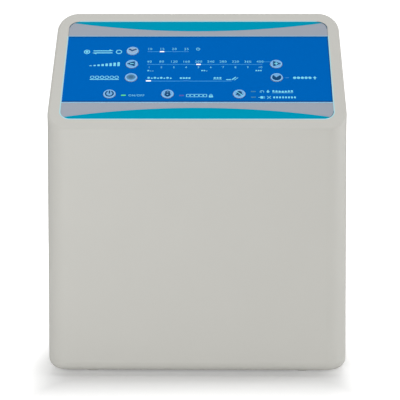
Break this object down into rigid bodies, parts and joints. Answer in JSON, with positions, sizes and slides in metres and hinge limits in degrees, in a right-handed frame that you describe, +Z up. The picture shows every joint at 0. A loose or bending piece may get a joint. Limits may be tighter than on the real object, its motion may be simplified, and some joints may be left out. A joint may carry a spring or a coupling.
{
  "type": "air mattress pump",
  "caption": "Bedside pump for an alternating air mattress: deep moulded case with a sloping key panel, hose port and mains inlet at the sides, hanging hooks at the back.",
  "frame": {"origin": "on the surface that the feet stand on, below the middle of the object's box", "axes": "+Z up, front with the low edge of the sloping panel towards -Y, +X to the viewer's right"},
  "size_m": [0.2738, 0.142, 0.3255],
  "materials": {
    "case_plastic": "fine spark texture",
    "cover_plastic": "fine spark texture",
    "label_film": "satin printed film",
    "key_plastic": "satin domed film",
    "lamp_plastic": "clear moulded light pipe",
    "black_plastic": "moulded",
    "white_plastic": "moulded",
    "rocker_plastic": "moulded",
    "port_plastic": "moulded",
    "hook_plastic": "moulded",
    "black_rubber": "moulded",
    "hose_rubber": "extruded silicone",
    "screw_steel": "zinc plated",
    "zinc_sheet": "zinc plated sheet",
    "core_steel": "laminated sheets",
    "cast_aluminium": "cast, unpainted",
    "copper_wire": "enamelled copper",
    "plated_brass": "nickel plated",
    "magnet": "sintered",
    "circuit_board": "solder mask",
    "filter_foam": "open-cell foam",
    "lead_insulation": "extruded insulation"
  },
  "bodies": {
    "case": {"front_case": "case_plastic", "rear_cover": "cover_plastic", "cover_screws": "screw_steel", "rubber_feet": "black_rubber", "panel_overlay": "label_film", "control_board": "circuit_board", "board_screws": "screw_steel", "key_switches": "black_plastic", "indicator_lamps": "lamp_plastic", "buzzer": "black_plastic", "pressure_sensor": "white_plastic", "power_inlet": "black_plastic", "inlet_blades": "plated_brass", "fuse_holders": "black_plastic", "rocker_frame": "black_plastic", "port_block": "port_plastic", "port_rings": "black_rubber", "flange_screws": "screw_steel", "hook_pins": "screw_steel", "filter_foam": "filter_foam", "chassis_plate": "zinc_sheet", "chassis_screws": "screw_steel", "shelf": "zinc_sheet", "pump_mounts": "black_rubber", "pump_frame": "cast_aluminium", "pump_cores": "core_steel", "pump_coils": "copper_wire", "diaphragms": "black_rubber", "valve_head_left": "white_plastic", "valve_head_right": "white_plastic", "flap_valves": "black_rubber", "head_screws": "screw_steel", "silencer_tank": "white_plastic", "valve_body": "white_plastic", "valve_motor": "zinc_sheet", "head_hoses": "hose_rubber", "supply_hose": "hose_rubber", "outlet_hoses": "hose_rubber", "power_board": "circuit_board", "sensor_tube": "hose_rubber", "mains_leads": "lead_insulation", "transformer": "core_steel", "capacitors": "black_plastic", "heat_sink": "cast_aluminium"},
    "rocker": {"rocker": "rocker_plastic"},
    "hook_left": {"hook_left": "hook_plastic"},
    "hook_right": {"hook_right": "hook_plastic"},
    "filter_cover": {"filter_cover": "cover_plastic"},
    "armature": {"armature": "white_plastic", "armature_magnets": "magnet"},
    "valve_rotor": {"valve_rotor": "white_plastic"},
    "key_timer": {"key_timer": "key_plastic"},
    "key_softer": {"key_softer": "key_plastic"},
    "key_mode": {"key_mode": "key_plastic"},
    "key_firmer": {"key_firmer": "key_plastic"},
    "key_auto": {"key_auto": "key_plastic"},
    "key_power": {"key_power": "key_plastic"},
    "key_lock": {"key_lock": "key_plastic"},
    "key_mute": {"key_mute": "key_plastic"}
  },
  "joints": [
    {"name": "hook_left_swing", "type": "hinge", "parent": "case", "child": "hook_left", "pos_m": [-0.09017, 0.065, 0.26012], "axis": [0, 0, 1], "range_deg": [0, 90]},
    {"name": "hook_right_swing", "type": "hinge", "parent": "case", "child": "hook_right", "pos_m": [0.09017, 0.065, 0.26012], "axis": [0, 0, -1], "range_deg": [0, 90]},
    {"name": "filter_cover_lift_off", "type": "slide", "parent": "case", "child": "filter_cover", "axis": [0, 1, 0], "range_m": [0, 0.03]},
    {"name": "rocker_tilt", "type": "hinge", "parent": "case", "child": "rocker", "pos_m": [-0.12428, -0.019, 0.126], "axis": [0, -1, 0], "range_deg": [0, 22]},
    {"name": "armature_stroke", "type": "slide", "parent": "case", "child": "armature", "axis": [1, 0, 0], "range_m": [-0.0015, 0.0015], "stiffness_N_per_m": 4000, "deforming": ["diaphragms"]},
    {"name": "valve_rotor_spin", "type": "hinge", "parent": "case", "child": "valve_rotor", "pos_m": [0.008, -0.036, 0.149], "axis": [1, 0, 0], "continuous": true},
    {"name": "key_timer_press", "type": "slide", "parent": "case", "child": "key_timer", "axis": [0, 0.6184, -0.7859], "range_m": [0, 0.0005], "stiffness_N_per_m": 2000},
    {"name": "key_softer_press", "type": "slide", "parent": "case", "child": "key_softer", "axis": [0, 0.6184, -0.7859], "range_m": [0, 0.0005], "stiffness_N_per_m": 2000},
    {"name": "key_mode_press", "type": "slide", "parent": "case", "child": "key_mode", "axis": [0, 0.6184, -0.7859], "range_m": [0, 0.0005], "stiffness_N_per_m": 2000},
    {"name": "key_firmer_press", "type": "slide", "parent": "case", "child": "key_firmer", "axis": [0, 0.6184, -0.7859], "range_m": [0, 0.0005], "stiffness_N_per_m": 2000},
    {"name": "key_auto_press", "type": "slide", "parent": "case", "child": "key_auto", "axis": [0, 0.6184, -0.7859], "range_m": [0, 0.0005], "stiffness_N_per_m": 2000},
    {"name": "key_power_press", "type": "slide", "parent": "case", "child": "key_power", "axis": [0, 0.6184, -0.7859], "range_m": [0, 0.0005], "stiffness_N_per_m": 2000},
    {"name": "key_lock_press", "type": "slide", "parent": "case", "child": "key_lock", "axis": [0, 0.6184, -0.7859], "range_m": [0, 0.0005], "stiffness_N_per_m": 2000},
    {"name": "key_mute_press", "type": "slide", "parent": "case", "child": "key_mute", "axis": [0, 0.6184, -0.7859], "range_m": [0, 0.0005], "stiffness_N_per_m": 2000}
  ]
}
